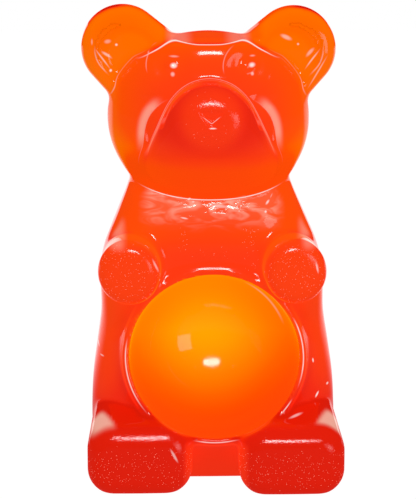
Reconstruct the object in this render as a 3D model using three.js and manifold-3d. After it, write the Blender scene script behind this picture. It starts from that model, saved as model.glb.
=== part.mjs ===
// A large moulded gummy bear that sits upright, with a round bowl sunk in its belly.
// It is one solid piece of jelly. Millimetres, +Z up, the face looks towards -Y,
// and the origin is on the base, under the middle of the bear's bounding box.
import * as THREE from 'three';
import { mergeVertices } from 'three/addons/utils/BufferGeometryUtils.js';
import Module from 'manifold-3d';

const wasm = await Module();
wasm.setup();

// ---- driving dimensions ----

// Torso: half width, front and back of the section at rising levels.
const torsoStations = [
  { level: 0, halfWidth: 110, front: -39, back: 59 },
  { level: 30, halfWidth: 111.8, front: -57, back: 65 },
  { level: 90, halfWidth: 111.2, front: -67, back: 70 },
  { level: 125, halfWidth: 106.6, front: -66, back: 69 },
  { level: 150, halfWidth: 103, front: -62, back: 67 },
  { level: 200, halfWidth: 101, front: -55, back: 60 },
  { level: 225, halfWidth: 93.6, front: -55.5, back: 56 },
  { level: 250, halfWidth: 83.4, front: -51, back: 50 },
  { level: 268, halfWidth: 76, front: -43, back: 44 },
  { level: 285, halfWidth: 70, front: -31.5, back: 36 },
];
const torsoPower = 2.9; // 2 is an ellipse, more is squarer
const baseEdgeRadius = 5;

const head = {
  centre: new THREE.Vector3(0, 5, 332),
  halfWidth: 92,
  halfDepth: 54,
  rise: 80, // centre to crown, before the crown is cut lower
  drop: 84, // centre to the point the cheeks taper towards
  powerAbove: 6.5,
  powerBelow: 3.5,
  leanBack: 0.13, // how far the forehead leans back, for each unit of height
  leanFrom: 330,
  leanEase: 20,
};

// The crown is cut lower behind the forehead, which leaves a ridge over the brow.
const brow = {
  level: 407,
  flatHalfWidth: 27.5,
  sideFall: 0.025,
  deepestFall: 22,
  dip: 2.5,
  dipInner: 8,
  dipOuter: 32,
  dipFront: -32,
  dipBack: -18,
  crownRise: 3.6,
  crownHalfWidth: 46,
  riseFront: -34,
  riseBack: 4,
  backFall: 0.012,
  rounding: 1,
};

// The mound of the mouth and chin.
const jaw = {
  centre: new THREE.Vector3(0, -20, 316),
  halfWidth: 60,
  halfDepth: 42,
  rise: 50,
  drop: 35,
  power: 2.6,
  depthPower: 3,
  lean: 0.12,
};

// The snout is a bell: round at its end, wider and longer below where it meets the face.
const muzzle = {
  front: -94.5,
  root: -60,
  back: -26,
  end: { level: 344, halfWidth: 36, rise: 29, drop: 29 },
  base: { level: 336, halfWidth: 38.5, rise: 37.5, drop: 59 },
  power: 2.8, // of the half below its level; the half above is elliptical
  flare: 0.014, // share of the width gained at the base, for each unit of height below
  flareFrom: 345,
  flareEase: 12,
  rounding: 22,
  backBlend: 10,
};

// How softly the forms of the head run into each other: there is a crease over the top of the
// muzzle and at each cheek, and nowhere else.
const blends = {
  crease: 2.5,
  soft: 22,
  chin: 30,
  archFrom: 298,
  archTo: 318,
  chinFrom: 282,
  chinTo: 325,
  cheekFrom: 345,
  cheekTo: 362,
};

const nose = { halfWidth: 11, top: 353, bottom: 338, cornerRadius: 4, floor: -90.5 };

const eye = {
  offset: 34.2,
  level: 384,
  dishInner: 6,
  dishRadius: 22,
  dishDepth: 3.5,
  ballRadius: 7.5,
  ballProud: 2.6,
};

const ear = {
  // the outline is the hull of three circles: the round ear and two roots inside the head
  circles: [
    { x: 77.5, z: 395.5, radius: 37.4 },
    { x: 30, z: 367, radius: 30 },
    { x: 44, z: 343, radius: 28 },
  ],
  middle: 8, // the ear's own mid plane, in Y
  thickness: 42,
  rounding: 13,
  dishCentre: { x: 69, z: 387 },
  dishHalfLength: 37,
  dishHalfWidth: 29,
  dishDepth: 7,
};

const arm = {
  paw: new THREE.Vector3(74, -90, 205),
  shoulder: new THREE.Vector3(67, -6, 206),
  rightOut: 2.8, // how much further out the bear's right arm is
  pawRadius: 28.3,
  shoulderRadius: 26,
  rounding: 11,
  dome: 2.5,
};

const leg = {
  centre: 69,
  halfWidth: 48.3,
  height: 64,
  cornerRadius: 25,
  rounding: 17,
  back: 10, // where the leg ends, inside the torso
  soleLeft: -100.5,
  soleRight: -107,
  taper: 0.06, // half width lost for each unit of length behind the sole
  rise: 0.26, // height gained by its top, for each unit of length behind the sole
  longest: 90, // behind the sole, where it stops rising
};

const bowl = {
  centre: new THREE.Vector3(-0.4, -70.1, 124), // middle of the rim
  radius: 77,
  squash: 0.965, // the rim's height as a share of its width
  depth: 90,
  tilt: THREE.MathUtils.degToRad(9.5), // the rim leans back from upright
  rake: 0.12, // how far the bowl climbs, for each unit of depth
  power: 2.15,
  lipWidth: 6.5,
  lipRounding: 5,
  innerRounding: 2.5,
  collarDepth: 52,
  collarFlare: 5,
  segments: 56,
};

// The soft body leans a little to its right, from the hips up.
const lean = { shift: 4.4, from: 90, to: 400 };

const jellyColour = 0xff4a16;

// ---- helpers ----

// A closed geometry as a solid: only positions are kept, and shared corners are merged.
function solid(geometry) {
  for (const name of ['normal', 'uv']) geometry.deleteAttribute(name);
  const merged = mergeVertices(geometry, 1e-3);
  const mesh = new wasm.Mesh({
    numProp: 3,
    vertProperties: Float32Array.from(merged.attributes.position.array),
    triVerts: Uint32Array.from(merged.index.array),
  });
  return new wasm.Manifold(mesh);
}

// Moves every vertex of a geometry by a function that changes the point it is given.
function reshape(geometry, move) {
  const position = geometry.attributes.position;
  const point = new THREE.Vector3();
  for (let i = 0; i < position.count; i += 1) {
    point.fromBufferAttribute(position, i);
    move(point);
    position.setXYZ(i, point.x, point.y, point.z);
  }
  return geometry;
}

function powerNorm(a, b, power) {
  return (Math.abs(a) ** power + Math.abs(b) ** power) ** (1 / power);
}

// The smaller of two distances, rounded off where they differ by less than the blend.
function smoothMin(a, b, blend) {
  const h = THREE.MathUtils.clamp(0.5 + (0.5 * (b - a)) / blend, 0, 1);
  return THREE.MathUtils.lerp(b, a, h) - blend * h * (1 - h);
}

// The larger of two distances, rounded off in the same way.
function smoothMax(a, b, blend) {
  return -smoothMin(-a, -b, blend);
}

// The distance from a slab, from how far outside its outline and its face a point is.
function roundedSlab(outside, ahead, rounding) {
  const [across, deep] = [outside + rounding, ahead + rounding];
  const corner = Math.hypot(Math.max(across, 0), Math.max(deep, 0));
  return corner + Math.min(Math.max(across, deep), 0) - rounding;
}

// The outline round some circles, listed anticlockwise, as arcs joined by their tangents.
function hullShape(circles) {
  const shape = new THREE.Shape();
  const tangentAngles = circles.map((circle, i) => {
    const next = circles[(i + 1) % circles.length];
    const dx = next.x - circle.x;
    const dz = next.z - circle.z;
    const spread = Math.acos((circle.radius - next.radius) / Math.hypot(dx, dz));
    return Math.atan2(dz, dx) - spread;
  });
  circles.forEach((circle, i) => {
    const start = tangentAngles[(i + circles.length - 1) % circles.length];
    shape.absarc(circle.x, circle.z, circle.radius, start, tangentAngles[i], false);
  });
  return shape;
}

// A slab with the outline in X and Z, round edges, and its faces at front and back in Y.
function slab(shape, front, back, rounding, curveSegments, edgeSteps) {
  const geometry = new THREE.ExtrudeGeometry(shape, {
    depth: back - front - 2 * rounding,
    bevelThickness: rounding,
    bevelSize: rounding,
    bevelOffset: -rounding,
    bevelSegments: edgeSteps,
    curveSegments,
  });
  geometry.rotateX(Math.PI / 2);
  geometry.translate(0, back - rounding, 0);
  return geometry;
}

// A solid of revolution about the line from start to end. The profile gives radius and
// distance along that line. The move, if there is one, bends it afterwards.
function turned(profile, start, end, segments, move = () => {}) {
  const geometry = new THREE.LatheGeometry(profile, segments);
  const direction = end.clone().sub(start).normalize();
  const turn = new THREE.Quaternion().setFromUnitVectors(new THREE.Vector3(0, 1, 0), direction);
  geometry.applyQuaternion(turn);
  geometry.translate(start.x, start.y, start.z);
  return solid(reshape(geometry, move));
}

// A round bar from a rounded, slightly domed end to a plain one, which is buried.
function roundedBar(start, end, startRadius, endRadius, rounding, dome, segments, move) {
  const length = start.distanceTo(end);
  const path = new THREE.Path();
  path.moveTo(0, 0);
  if (dome > 0) path.lineTo(0.5 * (startRadius - rounding), 0.3 * dome);
  path.lineTo(startRadius - rounding, dome);
  path.absarc(startRadius - rounding, dome + rounding, rounding, -Math.PI / 2, 0, false);
  path.lineTo(endRadius, length);
  path.lineTo(0, length);
  return turned(path.getPoints(3), start, end, segments, move);
}

// A geometry of loose triangles as it is for side 1, or mirrored in X for side -1. The mirror
// turns each triangle over, so its first and last corners change places.
function sided(geometry, side) {
  if (side > 0) return geometry;
  const position = geometry.attributes.position;
  const [first, last] = [new THREE.Vector3(), new THREE.Vector3()];
  reshape(geometry, (point) => {
    point.x *= -1;
  });
  for (let i = 0; i < position.count; i += 3) {
    first.fromBufferAttribute(position, i);
    last.fromBufferAttribute(position, i + 2);
    position.setXYZ(i, last.x, last.y, last.z);
    position.setXYZ(i + 2, first.x, first.y, first.z);
  }
  return geometry;
}

function mirroredX(vector, side) {
  return new THREE.Vector3(side * vector.x, vector.y, vector.z);
}

// ---- the bear's parts ----

function makeTorso() {
  const sections = new THREE.CatmullRomCurve3(
    torsoStations.map((s) => new THREE.Vector3(s.halfWidth, s.front, s.back)),
  );
  const levels = new THREE.SplineCurve(torsoStations.map((s) => new THREE.Vector2(s.level, 0)));
  const rings = 18;
  const geometry = new THREE.CylinderGeometry(1, 1, 1, 44, rings);
  geometry.rotateX(Math.PI / 2);
  reshape(geometry, (point) => {
    const t = point.z + 0.5;
    const ring = Math.round(t * rings);
    // the lowest rings make the rounded edge of the base
    const eased = ring < 3 ? [0, 0.002, 0.012][ring] : 0.012 + (0.988 * (ring - 2)) / (rings - 2);
    const section = sections.getPoint(eased);
    const level = levels.getPoint(eased).x;
    const missing = Math.max(0, baseEdgeRadius - level);
    const inset = baseEdgeRadius - Math.sqrt(baseEdgeRadius ** 2 - missing ** 2);
    const size = Math.max(powerNorm(point.x, point.y, torsoPower), 1e-6);
    const reach = Math.min(1, Math.hypot(point.x, point.y)) / size;
    const halfDepth = (section.z - section.y) / 2;
    point.x *= (section.x - inset) * reach;
    point.y = (section.y + section.z) / 2 + point.y * (halfDepth - inset) * reach;
    point.z = level;
  });
  return solid(geometry);
}

// The signed distance from a puffed-out ball: size is how far out the point is, as a share.
function puffed(offset, size) {
  return offset.length() * (1 - 1 / Math.max(size, 1e-6));
}

// The middle of the head in Y, which moves back as it rises.
function headMiddle(z) {
  const above = Math.max(z - head.leanFrom, 0);
  return head.centre.y + (head.leanBack * above ** 2) / (above + head.leanEase);
}

function headBall(point) {
  const offset = point.clone().sub(head.centre);
  offset.y = point.y - headMiddle(point.z);
  const [halfHeight, power] = offset.z > 0
    ? [head.rise, head.powerAbove] : [head.drop, head.powerBelow];
  const section = powerNorm(offset.y / head.halfDepth, offset.z / halfHeight, power);
  return puffed(offset, Math.hypot(offset.x / head.halfWidth, section));
}

// How far above the crown a point is.
function crownCut(point) {
  const { smoothstep } = THREE.MathUtils;
  const beside = Math.abs(point.x);
  const fall = Math.max(beside - brow.flatHalfWidth, 0);
  const behind = Math.max(point.y, 0);
  const dipped = (1 - smoothstep(beside, brow.dipInner, brow.dipOuter))
    * (1 - smoothstep(point.y, brow.dipFront, brow.dipBack));
  const risen = smoothstep(point.y, brow.riseFront, brow.riseBack)
    * Math.max(1 - (point.x / brow.crownHalfWidth) ** 2, 0) ** 2;
  const levelling = Math.exp(-brow.sideFall * fall ** 2 / brow.deepestFall);
  const level = brow.level - brow.deepestFall * (1 - levelling) - brow.dip * dipped
    + brow.crownRise * risen - brow.backFall * behind ** 2;
  return (point.z - level) / Math.hypot(1, 2 * brow.sideFall * fall * levelling);
}

function jawBall(point) {
  const offset = point.clone().sub(jaw.centre);
  offset.y -= jaw.lean * offset.z;
  const halfHeight = offset.z > 0 ? jaw.rise : jaw.drop;
  const face = powerNorm(offset.x / jaw.halfWidth, offset.z / halfHeight, jaw.power);
  return puffed(offset, powerNorm(offset.y / jaw.halfDepth, face, jaw.depthPower));
}

function muzzleBell(point) {
  const { clamp, lerp } = THREE.MathUtils;
  const root = clamp((point.y - muzzle.front) / (muzzle.root - muzzle.front), 0, 1);
  const { end, base } = muzzle;
  const above = point.z - lerp(end.level, base.level, root);
  const below = muzzle.flareFrom - point.z;
  const flare = 1 + (muzzle.flare * root * (below + Math.hypot(below, muzzle.flareEase))) / 2;
  const across = point.x / (lerp(end.halfWidth, base.halfWidth, root) * flare);
  const up = above / (above > 0 ? lerp(end.rise, base.rise, root) : lerp(end.drop, base.drop, root));
  const size = powerNorm(across, up, above > 0 ? 2 : muzzle.power);
  const outside = Math.hypot(point.x, above) * (1 - 1 / Math.max(size, 1e-6));
  const bell = roundedSlab(outside, muzzle.front - point.y, muzzle.rounding);
  return smoothMax(bell, point.y - muzzle.back, muzzle.backBlend);
}

// The dishes round the eyes, as a depth taken off the face.
function eyeDishes(point) {
  const away = Math.hypot(Math.abs(point.x) - eye.offset, point.z - eye.level);
  const inside = 1 - THREE.MathUtils.smoothstep(away, eye.dishInner, eye.dishRadius);
  return point.y < 0 ? eye.dishDepth * inside : 0;
}

function headForm(point) {
  const { smoothstep } = THREE.MathUtils;
  const { crease, soft, chin } = blends;
  const skull = smoothMax(headBall(point) + eyeDishes(point), crownCut(point), brow.rounding);
  const cheekBlend = crease
    + (soft - crease) * smoothstep(point.z, blends.cheekFrom, blends.cheekTo)
    + (chin - crease) * (1 - smoothstep(point.z, blends.chinFrom, blends.chinTo));
  const archBlend = crease
    + (soft - crease) * (1 - smoothstep(point.z, blends.archFrom, blends.archTo));
  return smoothMin(smoothMin(skull, jawBall(point), cheekBlend), muzzleBell(point), archBlend);
}

// Head, jaw and snout in one skin: a ball whose points move out along their rays to the form.
function makeHead() {
  const middle = new THREE.Vector3(0, -8, 332);
  const reach = 160;
  const halvings = 24;
  const frontBias = 0.45; // crowds the points towards the face
  const geometry = new THREE.SphereGeometry(1, 46, 36);
  geometry.rotateX(Math.PI);
  reshape(geometry, (point) => {
    const direction = point.clone();
    direction.y -= frontBias;
    direction.normalize();
    let [inside, outside] = [0, reach];
    for (let i = 0; i < halvings; i += 1) {
      const distance = (inside + outside) / 2;
      point.copy(direction).multiplyScalar(distance).add(middle);
      if (headForm(point) < 0) inside = distance;
      else outside = distance;
    }
  });
  return solid(geometry);
}

// The front of the head at a place beside its middle line.
function faceFront(x, z) {
  const across = x / head.halfWidth;
  const up = (z - head.centre.z) / (z > head.centre.z ? head.rise : head.drop);
  const slice = Math.sqrt(1 - across ** 2);
  const power = up > 0 ? head.powerAbove : head.powerBelow;
  const forward = (slice ** power - Math.abs(up) ** power) ** (1 / power);
  return headMiddle(z) - head.halfDepth * forward;
}

function makeEar(side) {
  const outline = hullShape(ear.circles);
  const half = ear.thickness / 2;
  const front = ear.middle - half;
  const disc = slab(outline, front, ear.middle + half, ear.rounding, 7, 4);
  const dish = new THREE.SphereGeometry(1, 24, 12);
  dish.scale(ear.dishHalfLength, ear.dishDepth, ear.dishHalfWidth);
  const [tip, , root] = ear.circles;
  dish.rotateY(-side * Math.atan2(tip.z - root.z, tip.x - root.x));
  dish.translate(side * ear.dishCentre.x, front, ear.dishCentre.z);
  return solid(sided(disc, side)).subtract(solid(dish));
}

function makeArm(side) {
  const [paw, shoulder] = [mirroredX(arm.paw, side), mirroredX(arm.shoulder, side)];
  if (side < 0) {
    paw.x -= arm.rightOut;
    shoulder.x -= arm.rightOut;
  }
  return roundedBar(paw, shoulder, arm.pawRadius, arm.shoulderRadius, arm.rounding, arm.dome, 28);
}

function makeLeg(side) {
  const sole = side > 0 ? leg.soleRight : leg.soleLeft;
  const r = leg.cornerRadius;
  const [inner, outer] = [leg.centre - leg.halfWidth + r, leg.centre + leg.halfWidth - r];
  const outline = hullShape([
    { x: outer, z: r, radius: r },
    { x: outer, z: leg.height - r, radius: r },
    { x: inner, z: leg.height - r, radius: r },
    { x: inner, z: r, radius: r },
  ]);
  const geometry = slab(outline, sole, leg.back, leg.rounding, 4, 4);
  reshape(geometry, (point) => {
    const behind = point.y - sole;
    const narrowed = 1 - (leg.taper * behind) / leg.halfWidth;
    point.z *= 1 + (leg.rise * Math.min(behind, leg.longest)) / leg.height;
    point.x = leg.centre - 0.4 * leg.taper * behind + (point.x - leg.centre) * narrowed;
  });
  return solid(sided(geometry, side));
}

// The way the bowl faces, forwards and a little up, and the way up its rim.
const bowlFacing = new THREE.Vector3(0, -Math.cos(bowl.tilt), Math.sin(bowl.tilt));
const bowlUp = new THREE.Vector3(0, Math.sin(bowl.tilt), Math.cos(bowl.tilt));

// Makes what is turned about the bowl's axis a little lower than it is wide.
function squash(point) {
  const up = point.clone().sub(bowl.centre).dot(bowlUp);
  point.addScaledVector(bowlUp, (bowl.squash - 1) * up);
}

// The bulge of the belly that carries the rim.
function makeCollar() {
  const radius = bowl.radius + bowl.lipWidth;
  const back = bowl.centre.clone().addScaledVector(bowlFacing, -bowl.collarDepth);
  const flare = radius + bowl.collarFlare;
  const { lipRounding, segments } = bowl;
  return roundedBar(bowl.centre, back, radius, flare, lipRounding, 0, segments, squash);
}

function makeBowlCut() {
  const clearance = 60;
  const steps = 11;
  const profile = [];
  for (let i = 0; i < steps; i += 1) {
    const angle = (i / steps) * (Math.PI / 2);
    const [across, deep] = [Math.sin(angle), Math.cos(angle)];
    const size = powerNorm(across, deep, bowl.power);
    profile.push(new THREE.Vector2((bowl.radius * across) / size, (-bowl.depth * deep) / size));
  }
  const r = bowl.innerRounding;
  const rim = new THREE.Path();
  rim.absarc(bowl.radius + r, -r, r, Math.PI, Math.PI / 2, true);
  profile.push(...rim.getPoints(2));
  const mouth = bowl.radius + r;
  profile.push(new THREE.Vector2(mouth, clearance), new THREE.Vector2(0, clearance));
  const end = bowl.centre.clone().add(bowlFacing);
  return turned(profile, bowl.centre, end, bowl.segments, (point) => {
    squash(point);
    const depth = Math.max(bowl.centre.clone().sub(point).dot(bowlFacing), 0);
    point.addScaledVector(bowlUp, bowl.rake * depth);
  });
}

function makeEyeball(side) {
  const { offset, level, dishDepth, ballRadius, ballProud } = eye;
  const geometry = new THREE.SphereGeometry(ballRadius, 14, 10);
  const bottom = faceFront(offset, level) + dishDepth;
  geometry.translate(side * offset, bottom - ballProud + ballRadius, level);
  return solid(geometry);
}

function makeNoseCut() {
  const r = nose.cornerRadius;
  const outline = hullShape([
    { x: nose.halfWidth - r, z: nose.top - r, radius: r },
    { x: -(nose.halfWidth - r), z: nose.top - r, radius: r },
    { x: 0, z: nose.bottom + r, radius: r },
  ]);
  const clearance = 20;
  const geometry = new THREE.ExtrudeGeometry(outline, {
    depth: clearance, bevelEnabled: false, curveSegments: 6,
  });
  geometry.rotateX(Math.PI / 2);
  geometry.translate(0, nose.floor, 0);
  return solid(geometry);
}

// ---- one solid ----

let bear = makeTorso().add(makeHead()).add(makeCollar());
for (const side of [-1, 1]) {
  bear = bear.add(makeEar(side)).add(makeArm(side)).add(makeLeg(side));
}
bear = bear.subtract(makeBowlCut()).subtract(makeNoseCut());
for (const side of [-1, 1]) bear = bear.add(makeEyeball(side));

const result = bear.getMesh();
const geometry = new THREE.BufferGeometry();
geometry.setAttribute('position', new THREE.BufferAttribute(result.vertProperties, 3));
geometry.setIndex(new THREE.BufferAttribute(result.triVerts, 1));
reshape(geometry, (point) => {
  point.x -= lean.shift * THREE.MathUtils.smoothstep(point.z, lean.from, lean.to);
});
geometry.computeBoundingBox();
const middle = geometry.boundingBox.getCenter(new THREE.Vector3());
geometry.translate(-middle.x, -middle.y, 0);
geometry.computeVertexNormals();

const jelly = new THREE.MeshStandardMaterial({
  color: jellyColour, roughness: 0.18, metalness: 0, flatShading: true,
});
const gummyBear = new THREE.Mesh(geometry, jelly);
gummyBear.name = 'gummy_bear';

const model = new THREE.Group();
model.add(gummyBear);

export default model;
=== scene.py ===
import math

import bpy
import numpy as np
from mathutils import Matrix, Vector


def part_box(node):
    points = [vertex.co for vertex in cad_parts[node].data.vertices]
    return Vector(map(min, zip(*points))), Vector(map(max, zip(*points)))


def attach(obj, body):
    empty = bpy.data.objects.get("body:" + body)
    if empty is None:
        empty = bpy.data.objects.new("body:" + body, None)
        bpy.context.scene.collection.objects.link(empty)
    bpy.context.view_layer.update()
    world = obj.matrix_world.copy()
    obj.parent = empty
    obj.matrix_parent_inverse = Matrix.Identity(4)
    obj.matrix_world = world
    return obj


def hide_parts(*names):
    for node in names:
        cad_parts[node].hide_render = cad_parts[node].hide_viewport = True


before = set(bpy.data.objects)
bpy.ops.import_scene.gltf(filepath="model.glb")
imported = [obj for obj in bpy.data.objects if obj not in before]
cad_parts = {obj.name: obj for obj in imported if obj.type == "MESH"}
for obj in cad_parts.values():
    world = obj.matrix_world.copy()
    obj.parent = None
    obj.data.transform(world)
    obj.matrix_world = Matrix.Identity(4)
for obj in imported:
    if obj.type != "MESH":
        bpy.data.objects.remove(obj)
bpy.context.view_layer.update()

# A large gummy bear in one piece of orange jelly, with a bowl sunk in its belly.
# Its shape is a field: a number at every point of space, below zero inside the jelly.
# The field works in millimetres, +Z up, face towards -Y, and is moved to the frame at the end.

scene = bpy.context.scene
tiny = 1e-4  # keeps powers away from zero


def newObject(name, data):
    thing = bpy.data.objects.new(name, data)
    scene.collection.objects.link(thing)
    return thing


def turnedObject(name, data, place, turn):
    thing = newObject(name, data)
    thing.location = place
    thing.rotation_mode = "QUATERNION"
    thing.rotation_quaternion = turn
    return thing


# small field tools

def softMin(a, b, blend):
    h = np.clip(0.5 + 0.5 * (b - a) / blend, 0, 1)
    return b + (a - b) * h - blend * h * (1 - h)


def softMax(a, b, blend):
    return -softMin(-a, -b, blend)


def ease(value, low, high):
    t = np.clip((value - low) / (high - low), 0, 1)
    return t * t * (3 - 2 * t)


def band(value, start, full, fallFrom, end):
    # 0 up to the start, 1 in the middle and 0 again from the end
    return ease(value, start, full) * (1 - ease(value, fallFrom, end))


def powerSum(a, b, power):
    return (a**power + b**power) ** (1 / power)


def ovalField(u, v, a, b, power):
    # distance to an oval with half sizes a and b, squarer with a higher power
    qu, qv = np.abs(u) / a + tiny, np.abs(v) / b + tiny
    size = powerSum(qu, qv, power)
    slope = size ** (1 - power) * np.hypot(qu ** (power - 1) / a, qv ** (power - 1) / b)
    return (size - 1) / slope


def throughStations(levels, sizes, z):
    # a smooth curve through the sizes, with the slope of its neighbours at each one
    levels, sizes = np.asarray(levels, float), np.asarray(sizes, float)
    slopes = np.gradient(sizes, levels)
    i = np.clip(np.searchsorted(levels, z) - 1, 0, len(levels) - 2)
    gap = levels[i + 1] - levels[i]
    t = np.clip((z - levels[i]) / gap, 0, 1)
    rise = t * t * (3 - 2 * t)
    bend = gap * t * (1 - t)
    return sizes[i] + (sizes[i + 1] - sizes[i]) * rise + bend * ((1 - t) * slopes[i] - t * slopes[i + 1])


def roundedSlab(outline, face, rounding):
    # joins a distance in the plane and a distance from the face with a rounded edge
    across, deep = outline + rounding, face + rounding
    corner = np.hypot(np.maximum(across, 0), np.maximum(deep, 0))
    return corner + np.minimum(np.maximum(across, deep), 0) - rounding


def taperedLine(along, off, length, startRadius, endRadius):
    # a line thickened to two different radii at its ends
    slope = (startRadius - endRadius) / length
    steep = math.sqrt(1 - slope * slope)
    place = along * steep - off * slope
    middle = off * steep + along * slope - startRadius
    ends = np.where(place < 0, np.hypot(along, off) - startRadius,
                    np.hypot(along - length, off) - endRadius)
    return np.where((place < 0) | (place > length * steep), ends, middle)


# the parts of the bear

torso = {
    "levels": [0, 30, 90, 125, 150, 200, 225, 250, 268, 285],
    "halfWidths": [110, 111.8, 111.2, 106.6, 103, 101, 93.6, 83.4, 76, 70],
    "fronts": [-39, -57, -67, -66, -62, -55, -55.5, -51, -43, -31.5],
    "backs": [59, 65, 70, 69, 67, 60, 56, 50, 44, 36],
    "squareness": 2.9,
    "top": 285, "topBlend": 10,
}


def torsoField(x, y, z):
    t = torso
    sizes = (t["halfWidths"], t["fronts"], t["backs"])
    halfWidth, front, back = (throughStations(t["levels"], size, z) for size in sizes)
    section = ovalField(x, y - (front + back) / 2, halfWidth, (back - front) / 2, t["squareness"])
    return softMax(section, z - t["top"], t["topBlend"])


head = {
    "centre": (0, 5, 332), "halfWidth": 92, "halfDepth": 54,
    "rise": 80, "drop": 84, "squareAbove": 6.5, "squareBelow": 3.5, "leanBack": 0.13, "leanFrom": 330,
    "leanEase": 20, "dipAcross": (8, 32), "dipBehind": (-32, -18), "crownAlong": (-34, 4), "crownFallFrom": 2,
    "browLevel": 405.7, "browFlat": 27.5, "browFall": 0.025, "browDeepest": 22, "browDip": 2.4,
    "browRounding": 1.0, "crownRise": 4.9, "crownHalfWidth": 46, "crownFall": 0.012,
}


def skullField(x, y, z):
    h = head
    cx, cy, cz = h["centre"]
    halfHeight = np.where(z > cz, h["rise"], h["drop"])
    p = np.where(z > cz, h["squareAbove"], h["squareBelow"])
    above = np.maximum(z - h["leanFrom"], 0)
    cy = cy + h["leanBack"] * above * above / (above + h["leanEase"])
    qx = np.abs(x - cx) / h["halfWidth"] + tiny
    qy = np.abs(y - cy) / h["halfDepth"] + tiny
    qz = np.abs(z - cz) / halfHeight + tiny
    section = powerSum(qy, qz, p)
    size = np.hypot(qx, section)
    pull = section ** (2 - p) / size
    gx = qx / h["halfWidth"] / size
    gy = pull * qy ** (p - 1) / h["halfDepth"]
    gz = pull * qz ** (p - 1) / halfHeight
    return (size - 1) / np.sqrt(gx * gx + gy * gy + gz * gz)


def crownField(x, y, z):
    # the crown is cut lower behind the brow, which leaves a ridge across the forehead
    h, ax = head, np.abs(x)
    fall = np.maximum(ax - h["browFlat"], 0)
    levelling = np.exp(-h["browFall"] * fall * fall / h["browDeepest"])
    crown = h["browLevel"] - h["browDeepest"] * (1 - levelling)
    crown = crown - h["browDip"] * (1 - ease(ax, *h["dipAcross"])) * (1 - ease(y, *h["dipBehind"]))
    arched = np.maximum(1 - (x / h["crownHalfWidth"]) ** 2, 0) ** 2
    crown = crown + h["crownRise"] * ease(y, *h["crownAlong"]) * arched
    crown = crown - h["crownFall"] * np.maximum(y - h["crownFallFrom"], 0) ** 2
    return (z - crown) / np.sqrt(1 + (2 * h["browFall"] * fall * levelling) ** 2)


face = {
    "eyeOffset": 34.2, "eyeLevel": 384, "eyeFlat": 6, "eyeRadius": 22, "eyeDepth": 3.5,
    "pupilFlat": 1, "pupilRadius": 8, "pupilRise": 2.6, "front": (10, 25),
}


def faceRelief(x, y, z):
    # how far the eyes are pressed in
    f, ax = face, np.abs(x)
    off = np.hypot(ax - f["eyeOffset"], z - f["eyeLevel"])
    socket = f["eyeDepth"] * (1 - ease(off, f["eyeFlat"], f["eyeRadius"]))
    ball = f["pupilRise"] * (1 - ease(off, f["pupilFlat"], f["pupilRadius"]))
    return (socket - ball) * ease(-y, *f["front"])


snout = {
    "front": -94.5, "root": -60, "back": -26, "endLevel": 344, "rootLevel": 336,
    "endHalfWidth": 36, "rootHalfWidth": 38.5, "endRise": 29, "rootRise": 37.5,
    "endDrop": 29, "rootDrop": 59, "flare": 0.014, "flareEase": 12, "flareFrom": 345, "rounding": 22,
    "archSquareness": 2.8, "rootBlend": 10,
    "jawCentre": (0, -20, 316), "jawHalfWidth": 60, "jawHalfDepth": 42, "jawRise": 50, "jawDrop": 35,
    "jawSquareness": 2.6, "jawDepthSquareness": 3, "jawLean": 0.12,
    "noseHalfWidth": 11.5, "noseTop": 353, "noseBottom": 338, "noseDepth": 2.2, "noseSpread": 0.62,
    "noseEdge": (-2.0, 0.6), "noseFront": (70, 80), "ridgeLift": 4.5, "ridgeSlope": 0.62,
    "ridgeWidth": (0.4, 1.6), "ridgeReach": (5, 8), "ridgeEdge": (-3, -1),
}


def muzzleField(x, y, z):
    # a bell: round at its end, wider and longer below where it grows out of the face
    s = snout
    root = np.clip((y - s["front"]) / (s["root"] - s["front"]), 0, 1)
    rise = z - s["endLevel"] - (s["rootLevel"] - s["endLevel"]) * root
    halfWidth = s["endHalfWidth"] + (s["rootHalfWidth"] - s["endHalfWidth"]) * root
    below = s["flareFrom"] - z
    halfWidth = halfWidth * (1 + s["flare"] * root * (below + np.hypot(below, s["flareEase"])) / 2)
    halfHeight = np.where(rise > 0, s["endRise"] + (s["rootRise"] - s["endRise"]) * root,
                          s["endDrop"] + (s["rootDrop"] - s["endDrop"]) * root)
    qx, qz = np.abs(x) / halfWidth + tiny, np.abs(rise) / halfHeight + tiny
    p = np.where(rise > 0, 2, s["archSquareness"])
    size = powerSum(qx, qz, p)
    outline = (size - 1) * size ** (p - 1) / np.hypot(qx ** (p - 1) / halfWidth, qz ** (p - 1) / halfHeight)
    return softMax(roundedSlab(outline, s["front"] - y, s["rounding"]), y - s["back"], s["rootBlend"])


def jawField(x, y, z):
    s = snout
    cx, cy, cz = s["jawCentre"]
    a, b, c = s["jawHalfWidth"], s["jawHalfDepth"], np.where(z > cz, s["jawRise"], s["jawDrop"])
    p, d = s["jawSquareness"], s["jawDepthSquareness"]
    cy = cy + s["jawLean"] * (z - cz)
    qx, qy, qz = np.abs(x - cx) / a + tiny, np.abs(y - cy) / b + tiny, np.abs(z - cz) / c + tiny
    frontView = powerSum(qx, qz, p)
    size = powerSum(frontView, qy, d)
    pull = (frontView / size) ** (d - 1) * frontView ** (1 - p)
    gx, gz, gy = pull * qx ** (p - 1) / a, pull * qz ** (p - 1) / c, (qy / size) ** (d - 1) / b
    return (size - 1) / np.sqrt(gx * gx + gy * gy + gz * gz)


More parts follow.
